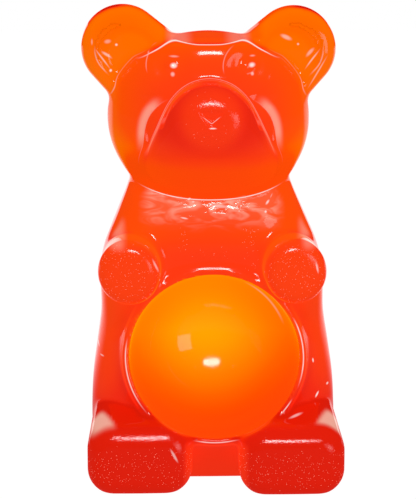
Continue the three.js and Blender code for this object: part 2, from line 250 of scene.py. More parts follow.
def noseRelief(x, y, z):
    # a shallow heart-shaped press with a V-shaped ridge in it
    s = snout
    tall, ax = s["noseTop"] - s["noseBottom"], np.abs(x)
    up = (z - s["noseBottom"]) / tall
    halfWidth = s["noseHalfWidth"] * np.clip(up, 0.02, 1) ** s["noseSpread"]
    edge = np.maximum(ax - halfWidth, (np.abs(up - 0.5) - 0.5) * tall)
    pressed = s["noseDepth"] * (1 - ease(edge, *s["noseEdge"]))
    arms = np.abs(z - (s["noseBottom"] + s["ridgeLift"] + s["ridgeSlope"] * ax))
    ridge = (1 - ease(arms, *s["ridgeWidth"])) * (1 - ease(ax, *s["ridgeReach"]))
    return (pressed - ridge * (1 - ease(edge, *s["ridgeEdge"]))) * ease(-y, *s["noseFront"])


ear = {
    "ball": (77.5, 395.5, 37.4), "lowRoot": (44, 343, 28), "highRoot": (30, 367, 30),
    "middle": 8, "halfThickness": 21, "rounding": 13,
    "dishTip": (71, 390, 28.5), "dishRoot": (40, 345, 26), "dishDepth": 7, "dishSlope": 11,
    "nudgeRight": (1.0, -1.4), "nudgeLeft": (-0.3, 0.3),
}


def outlineOfTwo(x, z, one, two):
    length = math.hypot(two[0] - one[0], two[1] - one[1])
    ux, uz = (two[0] - one[0]) / length, (two[1] - one[1]) / length
    along = (x - one[0]) * ux + (z - one[1]) * uz
    off = np.abs((x - one[0]) * uz - (z - one[1]) * ux)
    return taperedLine(along, off, length, one[2], two[2])


def earPlace(x, z):
    # the distances aside and up in an ear's own place, and the distance to its outline
    e = ear
    ax = np.abs(x) - np.where(x > 0, e["nudgeRight"][0], e["nudgeLeft"][0])
    z = z - np.where(x > 0, e["nudgeRight"][1], e["nudgeLeft"][1])
    low, high = (outlineOfTwo(ax, z, e["ball"], e[root]) for root in ("lowRoot", "highRoot"))
    return ax, z, np.minimum(low, high)


def earField(x, y, z):
    e = ear
    ax, z, outline = earPlace(x, z)
    dish = e["dishDepth"] * ease(-outlineOfTwo(ax, z, e["dishTip"], e["dishRoot"]), 0, e["dishSlope"])
    deep = np.where(y < e["middle"], e["halfThickness"] - dish, e["halfThickness"])
    return roundedSlab(outline, np.abs(y - e["middle"]) - deep, e["rounding"])


arm = {
    "paw": (74, -90, 205), "shoulder": (67, -6, 206), "leftOut": 2.8,
    "radius": 28.3, "taller": 1.06, "taper": 0.03, "taperLength": 80, "rounding": 11, "dome": 2.5,
    "endBlend": 6,
}


def armField(x, y, z):
    a = arm
    z = a["paw"][2] + (z - a["paw"][2]) / a["taller"]
    line = [s - p for s, p in zip(a["shoulder"], a["paw"])]
    length = math.sqrt(sum(v * v for v in line))
    ax = np.abs(x) - np.where(x < 0, a["leftOut"], 0)
    offset = [ax - a["paw"][0], y - a["paw"][1], z - a["paw"][2]]
    along = sum(o * v for o, v in zip(offset, line)) / length
    off = np.sqrt(np.maximum(sum(o * o for o in offset) - along * along, 0))
    radius = a["radius"] - a["taper"] * np.clip(along, 0, a["taperLength"])
    domed = a["dome"] * (off / a["radius"]) ** 2
    return softMax(roundedSlab(off - radius, domed - along, a["rounding"]), along - length, a["endBlend"])


leg = {
    "centre": 69, "halfWidth": 48.3, "halfHeight": 32, "corner": 25, "rounding": 17, "rise": 0.13,
    "rightSole": -107, "leftSole": -100.5, "back": 10, "backBlend": 20,
    "taper": 0.06, "taperFrom": -100, "taperLength": 90, "turnedOut": 0.4, "domeAcross": 2.0, "domeUp": 1.5,
}


def legField(x, y, z):
    g = leg
    behind = np.clip(y - g["taperFrom"], 0, g["taperLength"])
    halfWidth = g["halfWidth"] - g["taper"] * behind
    across = np.abs(x) - (g["centre"] - g["turnedOut"] * g["taper"] * behind)
    halfHeight = g["halfHeight"] + g["rise"] * behind
    up = z - halfHeight
    outline = roundedSlab(np.abs(across) - halfWidth, np.abs(up) - halfHeight, g["corner"])
    domed = g["domeAcross"] * (across / halfWidth) ** 2 + g["domeUp"] * (up / halfHeight) ** 2
    sole = np.where(x > 0, g["rightSole"], g["leftSole"]) + domed
    return softMax(roundedSlab(outline, sole - y, g["rounding"]), y - g["back"], g["backBlend"])


bowl = {
    "centre": (-0.4, -70.1, 124), "radius": 77, "lower": 0.965, "depth": 90, "roundness": 2.15,
    "tilt": math.radians(9.5), "rake": 0.12,
    "lip": 6, "lipRounding": 5, "collarFlare": 0.12, "collarDepth": 52, "collarBlend": 10,
    # what counts as its skin: behind the rim, inside the wall and near the field's surface
    "skinBehind": 0.8, "skinAside": 1.0, "skinNear": 3,
}


def bowlPlace(x, y, z, rake=0):
    # distance from the bowl's axis, which climbs by the rake, and how far in front of the rim
    cx, cy, cz = bowl["centre"]
    sin, cos = math.sin(bowl["tilt"]), math.cos(bowl["tilt"])
    front = -(y - cy) * cos + (z - cz) * sin
    up = (z - cz) * cos + (y - cy) * sin
    return np.hypot(x - cx, (up - rake * np.maximum(-front, 0)) / bowl["lower"]), front


def collarField(x, y, z):
    b = bowl
    off, front = bowlPlace(x, y, z)
    radius = b["radius"] + b["lip"] + b["collarFlare"] * np.maximum(-front, 0)
    slab = roundedSlab(off - radius, front, b["lipRounding"])
    return softMax(slab, -front - b["collarDepth"], b["collarBlend"])


def bowlField(x, y, z):
    b = bowl
    off, front = bowlPlace(x, y, z, b["rake"])
    hollow = ovalField(off, front, b["radius"], b["depth"], b["roundness"])
    return np.where(front > 0, off - b["radius"], hollow)


blends = {
    "earToHead": 6, "headToTorso": 5,
    "creaseBlend": 2.5, "softBlend": 22, "chinBlend": 30, "archFrom": 298, "archTo": 318,
    "cheekFrom": (282, 325), "cheekTo": (345, 362),
    "armToTorso": 10, "legToTorso": 3.5, "collarToTorso": 9, "baseEdge": 5, "bowlEdge": 3,
    "leanShift": 4.4, "leanFrom": 90, "leanTo": 400,
}


def leaned(x, z):
    b = blends
    return x + b["leanShift"] * ease(z, b["leanFrom"], b["leanTo"])


def formsOf(x, y, z):
    # every form's own field, and what they add up to on the way
    b = blends
    x = leaned(x, z)
    f = {"skull": skullField(x, y, z), "crown": crownField(x, y, z), "ear": earField(x, y, z),
         "jaw": jawField(x, y, z), "muzzle": muzzleField(x, y, z), "torso": torsoField(x, y, z),
         "arm": armField(x, y, z)}
    head0 = softMax(f["skull"], f["crown"], head["browRounding"]) + faceRelief(x, y, z)
    f["head"] = softMin(head0, f["ear"], b["earToHead"])
    # the mound has a crease at each cheek only, the muzzle only over its top
    soft, chin = b["softBlend"] - b["creaseBlend"], b["chinBlend"] - b["creaseBlend"]
    cheek = soft * ease(z, *b["cheekTo"]) + chin * (1 - ease(z, *b["cheekFrom"]))
    f["cheeks"] = softMin(f["head"], f["jaw"], b["creaseBlend"] + cheek)
    arch = ease(z, b["archFrom"], b["archTo"])
    f["face"] = softMin(f["cheeks"], f["muzzle"], b["creaseBlend"] + soft * (1 - arch)) + noseRelief(x, y, z)
    f["upper"] = softMin(f["torso"], f["face"], b["headToTorso"])
    whole = softMin(f["upper"], f["arm"], b["armToTorso"])
    whole = softMin(whole, legField(x, y, z), b["legToTorso"])
    whole = softMin(whole, collarField(x, y, z), b["collarToTorso"])
    whole = softMax(whole, -z, b["baseEdge"])
    f["whole"] = softMax(whole, -bowlField(x, y, z), b["bowlEdge"])
    return f


def bearField(x, y, z):
    return formsOf(x, y, z)["whole"]


# from the field to a skin

skin = {
    "low": (-124, -114, -6), "high": (124, 80, 440),
    "cell": 2.5, "snapRounds": 3, "leastSlope": 0.2, "drift": 0.5,
    # grid lines stand closer together from one place to another, axis by axis
    "closer": (
        ((-70, -15, 1.9), (-15, 15, 1.2), (15, 70, 1.9)),
        ((-42, -28, 1.5),),
        ((300, 335, 1.9), (335, 357, 1.2), (357, 397, 1.9), (397, 410, 1.2)),
    ),
}


def spacedLine(low, high, cell, closer):
    places = [low]
    while places[-1] < high:
        steps = [fine for start, stop, fine in closer if start <= places[-1] < stop]
        places.append(places[-1] + (steps[0] if steps else cell))
    return np.array(places)


def netOverField(field, lines):
    # one vertex in each grid cell that the surface crosses, one quad round each crossed edge
    values = field(*np.meshgrid(*lines, indexing="ij", sparse=True))
    cells = np.array(values.shape) - 1
    owners, places, quads = [], [], []
    for axis in range(3):
        lower, upper = [slice(None)] * 3, [slice(None)] * 3
        lower[axis], upper[axis] = slice(0, -1), slice(1, None)
        a, b = values[tuple(lower)], values[tuple(upper)]
        corner = np.argwhere((a < 0) != (b < 0))
        i, j, k = corner.T
        start, stop = a[i, j, k], b[i, j, k]
        point = np.stack([lines[n][corner[:, n]] for n in range(3)], -1)
        gap = lines[axis][corner[:, axis] + 1] - lines[axis][corner[:, axis]]
        point[:, axis] += gap * start / (start - stop)
        ring = []
        for du, dv in ((1, 1), (0, 1), (0, 0), (1, 0)):
            cell = corner.copy()
            cell[:, (axis + 1) % 3] -= du
            cell[:, (axis + 2) % 3] -= dv
            ring.append(np.ravel_multi_index(cell.T, cells))
            owners.append(ring[-1])
            places.append(point)
        quad = np.stack(ring, -1)
        inward = start > 0
        quad[inward] = quad[inward, ::-1]
        quads.append(quad)
    owners, places, quads = np.concatenate(owners), np.concatenate(places), np.concatenate(quads)
    used, index = np.unique(owners, return_inverse=True)
    count = np.bincount(index)
    points = np.stack([np.bincount(index, places[:, n]) / count for n in range(3)], -1)
    return points, np.searchsorted(used, quads), values


def slopeAt(points, reach=0.15):
    here = bearField(*points.T)
    slope = np.empty_like(points)
    for n in range(3):
        ahead = points.copy()
        ahead[:, n] += reach
        slope[:, n] = (bearField(*ahead.T) - here) / reach
    return here, slope


def snapped(points):
    # one step to the surface, and the way outwards before it
    here, slope = slopeAt(points)
    slopeSize = np.maximum((slope**2).sum(1), skin["leastSlope"])
    return points - (here / slopeSize)[:, None] * slope, slope / np.sqrt(slopeSize)[:, None]


def neighbourMean(values, edges, count):
    a, b = edges.T
    total = np.zeros_like(values)
    for n in range(values.shape[1]):
        total[:, n] = np.bincount(a, values[b, n], count) + np.bincount(b, values[a, n], count)
    links = np.bincount(a, minlength=count) + np.bincount(b, minlength=count)
    return total / links[:, None]


print("shaping the jelly")
gridLines = [spacedLine(low, high, skin["cell"], closer)
             for low, high, closer in zip(skin["low"], skin["high"], skin["closer"])]
points, quads, gridValues = netOverField(bearField, gridLines)
sides = np.concatenate([quads[:, [n, (n + 1) % 4]] for n in range(4)])
edges = np.unique(np.sort(sides, 1), axis=0)
for _ in range(skin["snapRounds"]):
    points, normals = snapped(points)
    drift = neighbourMean(points, edges, len(points)) - points
    drift -= (drift * normals).sum(1)[:, None] * normals
    points += skin["drift"] * drift
points = snapped(points)[0]
slope = slopeAt(points)[1]
normals = slope / np.linalg.norm(slope, axis=1)[:, None]
print("skin:", len(points), "points,", 2 * len(quads), "triangles")


# how much jelly the light comes through, which sets the colour of the painted glow

glow = {
    "step": 5.0, "reach": 260, "coneAngles": (0, 9, 18), "coneCounts": (1, 4, 6),
    "foreAndAft": 6.0, "upAndDown": 0.35, "clearDistance": 45.0, "smoothing": 7,
    "softness": 4, "fine": 0.5, "deepest": 200,
    "dimBelow": (60, 130), "dimDepth": 42,
    "ledgeBelow": (78, 100), "ledgeSlope": (0.3, 0.8), "ledgeDepth": 44,
    "brightFrom": (211, 236), "brightTo": (300, 335), "brightDepth": -23,
    "crownFrom": (402, 407), "crownAside": (38, 48), "crownDepth": 16,
    "evenBelow": 285, "leastBelow": 72,
    "jawLevel": (256, 264, 294, 312), "jawFront": (14, 28), "jawHalfWidth": 60,
    "jawSideDepth": 70, "jawMiddleDepth": 9,
    "crotchAside": (25, 32), "crotchLevel": (46, 54), "crotchFront": (20, 35), "crotchDepth": 132,
}

# painted depths for the bowl's glow, from its brightest place to its walls, its top and its floor
bowlGlow = {
    "x": -4, "level": 131, "slant": 0.23, "least": 20, "across": 73, "aside": 70,
    "above": 52, "higher": 42, "below": 87, "lower": 114, "power": 1.5,
}

# the pressed faces of the paws, the soles and the end of the snout, each with the depth that sets its painted
# glow, darkest at the soles
pressed = {
    "pawRadius": 27, "pawFrom": 78, "pawFront": 84, "pawDepth": 100,
    "soleFrom": 88, "soleFront": 96, "soleTop": (64, 76), "soleDepth": 172,
    "tipLevel": 345, "tipInner": 20, "tipOuter": 24, "tipFrom": 80, "tipFront": 88, "snoutDepth": 124,
    "depthSoft": 12, "grainSoft": 4,
}


def jellyDepth(points, normals):
    # light leaves through a cone inside the surface; its jelly is added up along each line
    g = glow
    inside = np.clip(0.5 - gridValues / g["softness"], 0, 1).astype(np.float32)
    flat = inside.ravel()
    shape = inside.shape
    inward = -normals * np.array([1, g["foreAndAft"], g["upAndDown"]])
    inward /= np.linalg.norm(inward, axis=1)[:, None]
    helper = np.where(np.abs(inward[:, 2:]) < 0.9, [[0, 0, 1.0]], [[1.0, 0, 0]])
    side = np.cross(inward, helper)
    side /= np.linalg.norm(side, axis=1)[:, None]
    other = np.cross(inward, side)
    tables = []
    for line in gridLines:
        fine = np.arange(line[0], line[-1], g["fine"])
        tables.append((line[0], np.searchsorted(line, fine) - 1))
    passed, weight = np.zeros(len(points)), 0
    for angle, count in zip(g["coneAngles"], g["coneCounts"]):
        for turn in np.arange(count) * 2 * math.pi / count:
            spread = math.sin(math.radians(angle))
            way = inward * math.cos(math.radians(angle)) + spread * (
                math.cos(turn) * side + math.sin(turn) * other)
            depth = np.zeros(len(points), np.float32)
            for reach in np.arange(g["step"] / 2, g["reach"], g["step"]):
                at = points + way * reach
                index = np.zeros(len(points), np.int64)
                ok = np.ones(len(points), bool)
                for n in range(3):
                    start, table = tables[n]
                    place = ((at[:, n] - start) / g["fine"]).astype(np.int64)
                    ok &= (place >= 0) & (place < len(table))
                    place = table[np.clip(place, 0, len(table) - 1)]
                    index = index * shape[n] + np.clip(place, 0, shape[n] - 1)
                depth += flat[index] * ok
            passed += math.cos(math.radians(angle)) * np.exp(-depth * g["step"] / g["clearDistance"])
            weight += math.cos(math.radians(angle))
    return -g["clearDistance"] * np.log(passed / weight + 1e-9)


def bowlMask(points):
    off, front = bowlPlace(*points.T, bowl["rake"])
    walls = (front < -bowl["skinBehind"]) & (off < bowl["radius"] + bowl["skinAside"])
    return walls & (bowlField(*points.T) < bowl["skinNear"])


def padParts(points, soft):
    # how far inside each pressed face a point is, and the depth there
    p = pressed
    x, y, z = points.T
    x = leaned(x, z)
    ax = np.abs(x) - np.where(x < 0, arm["leftOut"], 0)
    off = np.hypot(ax - arm["paw"][0], z - arm["paw"][2])
    paws = 1 - ease(off, p["pawRadius"] - soft / 2, p["pawRadius"] + soft / 2)
    soles = ease(-y, p["soleFrom"] - soft, p["soleFront"]) * (1 - ease(z, *p["soleTop"]))
    tip = 1 - ease(np.hypot(x, z - p["tipLevel"]), p["tipInner"], p["tipOuter"] + soft)
    return ((paws * ease(-y, p["pawFrom"] - soft, p["pawFront"]), p["pawDepth"]), (soles, p["soleDepth"]),
            (tip * ease(-y, p["tipFrom"] - soft, p["tipFront"]), p["snoutDepth"]))


def bowlDepth(points):
    # painted glow: the bowl is brightest above its middle and less bright towards its floor
    g = bowlGlow
    across = np.abs(points[:, 0] - g["x"]) / g["across"]
    up = points[:, 2] + g["slant"] * points[:, 1] - g["level"]
    upright = np.where(up > 0, g["higher"] * (np.abs(up) / g["above"]) ** g["power"],
                       g["lower"] * (np.abs(up) / g["below"]) ** g["power"])
    return g["least"] + g["aside"] * across**2 + upright


def lightedDepth(points, normals, forms):
    # the measured depth, eased, then corrected part by part, which paints more or less glow
    g = glow
    x, y, z = points.T
    depth = jellyDepth(points, normals)[:, None]
    for _ in range(g["smoothing"]):
        depth = 0.5 * depth + 0.5 * neighbourMean(depth, edges, len(points))
    # painted shade near the table, on the ledge above the legs under the belly and on the crown, and painted
    # light at the chest
    depth = depth[:, 0] + g["dimDepth"] * (1 - ease(z, *g["dimBelow"]))
    depth += g["brightDepth"] * ease(z, *g["brightFrom"]) * (1 - ease(z, *g["brightTo"]))
    depth += g["ledgeDepth"] * ease(normals[:, 2], *g["ledgeSlope"]) * (1 - ease(z, *g["ledgeBelow"]))
    depth += g["crownDepth"] * ease(z, *g["crownFrom"]) * (1 - ease(np.abs(x), *g["crownAside"]))
    depth = np.where(z < g["evenBelow"], np.maximum(depth, g["leastBelow"]), depth)
    for part, value in padParts(points, pressed["depthSoft"]):
        depth += (value - depth) * part
    # the painted glow is made even under the jaw, with painted shade between the legs
    jaw = (forms["face"] < forms["torso"]) * band(z, *g["jawLevel"]) * ease(-y, *g["jawFront"])
    jawDepth = g["jawSideDepth"] + g["jawMiddleDepth"] * np.maximum(1 - (x / g["jawHalfWidth"]) ** 2, 0)
    depth += (jawDepth - depth) * jaw
    crotch = (1 - ease(np.abs(leaned(x, z)), *g["crotchAside"])) * (1 - ease(z, *g["crotchLevel"]))
    crotch = crotch * ease(-y, *g["crotchFront"])
    depth += (g["crotchDepth"] - depth) * crotch
    inBowl = bowlMask(points)
    depth[inBowl] = bowlDepth(points[inBowl])
    return depth


print("lighting the inside")
forms = formsOf(*points.T)
depth = lightedDepth(points, normals, forms)


# where the surface differs: painted highlights, painted sheen, calmer mirroring, grain and bubbles
# two edges are a slope and four are a band, of the distances to the front, up and from the middle

# painted highlights, thin bright lines along creases and edges: half width in millimetres, strength, and
# where it shows
lines = {
    "browLine": (0.9, 1.0, {"front": (2, 14), "aside": (66, 46)}),
    "archLine": (0.8, 0.28, {"front": (28, 36), "level": (312, 332)}),
    "moundLine": (0.5, 0.16, {"front": (10, 20), "level": (296, 308, 346, 358), "aside": (34, 42)}),
    "chinLine": (0.9, 1.0, {"front": (22, 36), "level": (290, 280), "aside": (70, 44)}),
    "earLine": (0.9, 0.35, {"front": (4, 12), "level": (350, 362, 386, 396)}),
    "rimLine": (0.9, 0.35, {
        "front": (-2, 4), "level": (372, 379, 388, 400), "aside": (84, 92), "inside": 12.5,
    }),
    "armLine": (1.1, 0.7, {"front": (20, 34), "level": (176, 181, 190, 200), "aside": (74, 86)}),
    # turns go round the bowl in degrees from the right, and rightTurn from below
    "lipLine": (0.9, 0.75, {
        "outside": 3.4, "behind": (-16, -10, 4, 8), "rightTurn": (68, 84, 108, 116),
        "turns": ((166, 178, 200, 222), (254, 264, 276, 288), (318, 322, 326, 332)),
    }),
    "bowlLine": (1.6, 0.2, {"inside": 8.5, "turn": (14, 30, 44, 64), "behind": -2}),
    "noseLine": (0.6, 0.6, {
        "front": (84, 88), "level": (337, 341, 345, 351), "aside": (9, 5), "lift": 3.5, "slope": 0.8,
    }),
    "eyeLine": (0.7, 0.3, {"front": (8, 14), "level": (377, 384, 397, 403), "outer": 42, "inner": 27}),
}

# painted sheen: soft pale reflections painted beside the mouth, under the chin, on the arms, on the legs and
# at the brow
paintedSheens = {
    "cheek": {"strength": 0.5, "gap": (-0.6, 0.6, 3, 8), "front": (12, 24), "level": (305, 325, 346, 360),
              "aside": (40, 50, 62, 72)},
    "flank": {"strength": 0.2, "gap": (0.4, 2, 5, 11), "front": (12, 24), "level": (304, 318, 338, 352),
              "aside": (30, 38)},
    "arm": {"strength": 0.3, "gap": (12, 4), "front": (24, 34), "aside": (76, 84), "centre": (84, 236),
            "stretch": 1.5},
    "leg": {"strength": 0.7, "gap": (122, 128), "front": (52, 66, 84, 93), "level": (52, 63, 72, 84),
            "lean": 0.38},
    "crown": {"strength": 0.25, "gap": (-1, 1), "level": (398, 402), "aside": (12, 24, 32, 40)},
}

# the skin hardly mirrors the studio under the jaw, between ears and crown, at the sides and on the ears
calmed = {
    "jaw": {"front": (8, 18), "level": (262, 266, 306, 322)},
    "roots": {"level": (391, 397), "aside": (34, 42, 78, 90)},
    "sides": {"share": 0.6, "front": (62, 50), "level": (84, 110, 184, 196), "aside": (90, 98)},
    "earTops": {"level": (408, 416), "aside": (50, 60)},
}

# a grainy spot on the bowl's floor, with bubbles that glow as painted glints
glitter = {"x": 0, "level": 97, "inner": 1, "outer": 10, "grain": 0.9}

# rows of bubbles on the chest: amount, edges across and edges up
bubbleRows = (
    (1.0, (-34, -30, -26, -22), (214, 220, 238, 244)),
    (1.0, (26, 30, 38, 42), (196, 202, 238, 244)),
    (0.4, (-26, -20, 8, 14), (210, 215, 222, 226)),
)
# the soles have bubbles in one band only, and the snout has fewer
bubbleEdges = {
    "chest": (40, 48), "soles": (6, 18, 38, 50), "solesBelow": 100, "snout": (300, 320), "fewer": 0.75,
}

chestEdges = {"gap": (0, 1.5), "front": (30, 38), "rise": (234, 264), "fall": (276, 284), "aside": (52, 68)}


def within(value, edges):
    return band(value, *edges) if len(edges) == 4 else ease(value, *edges)


def shown(part, y, z, ax):
    total = np.ones(len(y))
    for key, value in (("front", -y), ("level", z), ("aside", ax)):
        if key in part:
            total = total * within(value, part[key])
    return total


def highlightLineGaps(points, f):
    # how far each point is from each painted highlight line, and how much of the line shows there
    x, y, z = points.T
    x = leaned(x, z)
    ax = np.abs(x)
    off, front = bowlPlace(x, y, z)
    inner = bowlPlace(x, y, z, bowl["rake"])[0]
    turn = np.degrees(np.arctan2(z - bowl["centre"][2], x - bowl["centre"][0])) % 360
    ex, ez, rim = earPlace(x, z)
    where = {name: edges for name, (halfWidth, strength, edges) in lines.items()}
    lip, wall, nose, eye = where["lipLine"], where["bowlLine"], where["noseLine"], where["eyeLine"]
    gaps = {
        "browLine": f["skull"] - f["crown"],
        "archLine": f["cheeks"] - f["muzzle"],
        "moundLine": f["head"] - f["jaw"],
        "chinLine": f["torso"] - f["face"],
        "earLine": softMax(f["skull"], f["crown"], 1) - f["ear"],
        "rimLine": rim + where["rimLine"]["inside"],
        "armLine": f["upper"] - f["arm"],
        "lipLine": off - bowl["radius"] - lip["outside"],
        "bowlLine": inner - bowl["radius"] + wall["inside"],
        "noseLine": z - (snout["noseBottom"] + nose["lift"] + nose["slope"] * ax),
        "eyeLine": np.hypot(ax - face["eyeOffset"], z - face["eyeLevel"]) - face["eyeRadius"],
    }
    shares = {name: shown(edges, y, z, ax) for name, edges in where.items()}
    shares["rimLine"] = shown(where["rimLine"], y, ez, ex)
    onLip = sum(band(turn, *edges) for edges in lip["turns"]) + band((turn + 90) % 360, *lip["rightTurn"])
    shares["lipLine"] = band(front, *lip["behind"]) * onLip
    shares["bowlLine"] = band(turn, *wall["turn"]) * (front < wall["behind"])
    shares["eyeLine"] = shares["eyeLine"] * (np.where(x < 0, ax - eye["outer"], eye["inner"] - ax) > 0)
    return {name: (gap, shares[name]) for name, gap in gaps.items()}


def paintedSheenMask(points, f):
    # where the painted sheen shows
    x, y, z = points.T
    ax = np.abs(leaned(x, z))
    (armAside, armLevel), stretch = paintedSheens["arm"]["centre"], paintedSheens["arm"]["stretch"]
    gaps = {
        "cheek": f["jaw"] - f["head"],
        "flank": f["cheeks"] - f["muzzle"],
        "arm": np.hypot((ax - armAside) / stretch, z - armLevel),
        "leg": ax - paintedSheens["leg"]["lean"] * y,
        "crown": f["crown"] - f["skull"],
    }
    return sum(part["strength"] * within(gaps[name], part["gap"]) * shown(part, y, z, ax)
               for name, part in paintedSheens.items())


def calmMask(points, f):
    x, y, z = points.T
    parts = {name: part.get("share", 1) * shown(part, y, z, np.abs(x)) for name, part in calmed.items()}
    parts["jaw"] = parts["jaw"] * (f["face"] < f["torso"])
    return np.clip(sum(parts.values()), 0, 1)


def glitterMask(points):
    x, y, z = points.T
    g = glitter
    return bowlMask(points) * (1 - ease(np.hypot(x - g["x"], z - g["level"]), g["inner"], g["outer"]))


def bubbleMask(points, pads):
    # bubbles show in the pressed faces, in rows on the chest and on the bowl's floor
    x, y, z = points.T
    x = leaned(x, z)
    e = bubbleEdges
    rows = sum(amount * band(x, *across) * band(z, *up) for amount, across, up in bubbleRows)
    soles = 1 - (1 - band(z, *e["soles"])) * (z < e["solesBelow"])
    padded = pads * soles * (1 - e["fewer"] * ease(z, *e["snout"]))
    return padded + rows * ease(-y, *e["chest"]) + glitterMask(points)


def chestMask(points, f):
    # where the painted wrinkled sheen shows under the chin
    x, y, z = points.T
    e = chestEdges
    under = ease(f["face"] - f["torso"], *e["gap"]) * ease(-y, *e["front"])
    across = 1 - ease(np.abs(leaned(x, z)), *e["aside"])
    return under * ease(z, *e["rise"]) * across * (1 - ease(z, *e["fall"]))


# the mesh

low, high = points.min(0), points.max(0)
boxLow, boxHigh = (np.array(v) * 1000 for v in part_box("gummy_bear"))
shift = (boxLow + boxHigh) / 2 - (low + high) / 2
shift[2] = boxLow[2] - low[2]
print("moved by", np.round(shift, 2), "mm")

mesh = bpy.data.meshes.new("bearSkin")
mesh.from_pydata(((points + shift) / 1000).tolist(), [], quads.tolist())
mesh.shade_smooth()
pads = np.clip(sum(part for part, value in padParts(points, pressed["grainSoft"])), 0, 1)
# masks per point, among them the painted sheen and the painted wrinkled sheen under the chin
layers = {
    "jellyDepth": depth / glow["deepest"], "bowl": bowlMask(points),
    "pads": pads + glitter["grain"] * glitterMask(points), "bubbles": bubbleMask(points, pads),
    "chest": chestMask(points, forms), "paintedSheen": paintedSheenMask(points, forms), "calm": calmMask(points, forms),
}
for name, values in layers.items():
    layer = mesh.attributes.new(name, "FLOAT", "POINT")
    layer.data.foreach_set("value", values.astype(np.float32))
# each painted highlight line, as its gap and how much of it shows
for name, (gap, strength) in highlightLineGaps(points, forms).items():
    layer = mesh.attributes.new(name, "FLOAT_VECTOR", "POINT")
    layer.data.foreach_set("vector", np.stack([gap, strength, 0 * gap], -1).astype(np.float32).ravel())
mesh.validate()
bear = newObject("bearJelly", mesh)
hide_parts("gummy_bear")
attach(bear, "root")


# painted glints, small bright highlights: place in the field, half sizes across and up, turn in degrees, and
# strength
paintedGlints = (
    # the eyes
    ((-36, -38, 392.5), (6, 1.4), 0, 0.35),
    ((-36, -40, 384.8), (4.2, 3.2), 0, 0.9),
    ((-37, -41, 377), (2.6, 2.8), 0, 0.5),
    ((34.6, -38, 392.5), (4, 1.4), 0, 0.5),
    ((34.2, -40, 384.8), (4.4, 3.2), 0, 1.0),
    ((34.2, -41, 377), (2.2, 2.4), 0, 0.6),
    # the left ear
    ((-94.9, -9.8, 402.6), (4, 2.6), 0, 0.3),
    ((-87.1, -6, 399.1), (1.6, 1.5), 0, 0.7),
    ((-96.1, -7.7, 390.5), (7.5, 1.6), -37, 0.45),
    ((-99.5, -11.1, 387), (14, 0.9), -55, 0.45),
    ((-92.4, -8.9, 376.2), (1.6, 1.6), 0, 0.8),
    ((-109, -12.4, 402.6), (1, 3.6), 0, 0.3),
    # the right ear
    ((66, -6, 405.4), (7, 2.6), -25, 0.4),
    ((76.9, -6, 399), (1.4, 1.4), 0, 0.5),
    ((87.8, -7.2, 391.9), (7, 2), 52, 0.35),
    ((90, -9, 386.2), (14, 0.9), 56, 0.45),
    ((94.5, -12.6, 374.4), (20, 0.9), 60, 0.35),
    # under the nose, on the paws and on a sole
    ((-3, -94.4, 337.7), (4.2, 0.9), 0, 0.8),
    ((-53.4, -86, 213), (8.5, 1.2), -65, 0.4),
    ((90, -87.5, 210.5), (6.5, 1.2), -78, 0.5),
    ((-37.8, -99.6, 40.8), (9, 1.6), -62, 0.45),
    # on the sides and on the right leg
    ((90, -49.4, 114.9), (1, 2.8), 10, 0.8),
    ((94.1, -47.8, 82.1), (4, 1.2), 60, 0.9),
    ((104.5, -35.4, 88.9), (1.6, 1.6), 0, 0.7),
    ((-105.9, -17.3, 124.8), (4.5, 1), -65, 0.45),
    ((-102.5, -33, 116.8), (2.6, 1), 0, 0.45),
    ((71.7, -74, 70.1), (10, 0.9), 11, 0.45),
    # on the chest
    ((-22.7, -45.5, 265), (2.2, 1.2), 20, 0.9),
    ((-19, -46, 262.5), (1.6, 1.2), 0, 0.5),
    ((4.4, -47, 258.5), (13, 1.8), -4, 0.4),
    ((-27.2, -50, 248.5), (4.5, 1), -10, 0.6),
    ((48.2, -46, 261), (3.6, 1.5), 50, 0.8),
    ((52, -45, 266.5), (4, 0.9), 60, 0.6),
    ((46.2, -48, 253), (1.5, 1.5), 0, 0.8),
)


# the jelly's material

# the jelly's glow is painted: the skin emits the colour of the light that comes through its depth, and its
# diffuse colour is a share of that
jelly = {
    "roughness": 0.07, "padRoughness": 0.10, "emission": 0.84, "diffuseShare": 0.45, "ior": 1.45,
    "specular": 0.5, "calmSpecular": 0.0,
    "grainScale": 620, "grainDetail": 3, "grainHeight": 0.00018,
    "wrinkleScale": 60, "wrinkleDetail": 2, "wrinkleDistortion": 1.5, "wrinkleHeight": 0.0015,
    "wrinkleStretch": (0.6, 0.4, 1.6), "foldFrom": (0.42, 0.72), "foldTo": (0.08, 0.62),
    "paintedSheenColour": (0.95, 0.64, 0.5, 1), "paintedHighlightColour": (1, 0.94, 0.9, 1), "glintDepth": 0.012, "glintCore": 0.3,
    # depth of jelly in millimetres, and the linear colour of the painted light that comes through it
    "colours": (
        (30, (0.99, 0.165, 0.0)), (42, (0.99, 0.135, 0.0)), (62, (0.99, 0.078, 0.001)),
        (95, (0.97, 0.052, 0.005)), (120, (0.94, 0.040, 0.006)), (140, (0.86, 0.024, 0.006)),
        (165, (0.74, 0.013, 0.003)), (200, (0.68, 0.010, 0.001)),
    ),
    "bowlColours": (
        (20, (0.99, 0.372, 0.0)), (40, (0.99, 0.28, 0.0)), (62, (0.99, 0.197, 0.0)), (90, (0.99, 0.112, 0.0)),
        (112, (0.98, 0.068, 0.0)), (128, (0.95, 0.045, 0.001)), (150, (0.85, 0.03, 0.002)),
    ),
}


def fill(tree, node, given):
    # an input takes a fixed value or another node's output
    for place, value in given.items():
        if isinstance(value, bpy.types.NodeSocket):
            tree.links.new(value, node.inputs[place])
        else:
            node.inputs[place].default_value = value


def addAny(tree, kind, given=None, **settings):
    node = tree.nodes.new(kind)
    for name, value in settings.items():
        setattr(node, name, value)
    fill(tree, node, given or {})
    return node


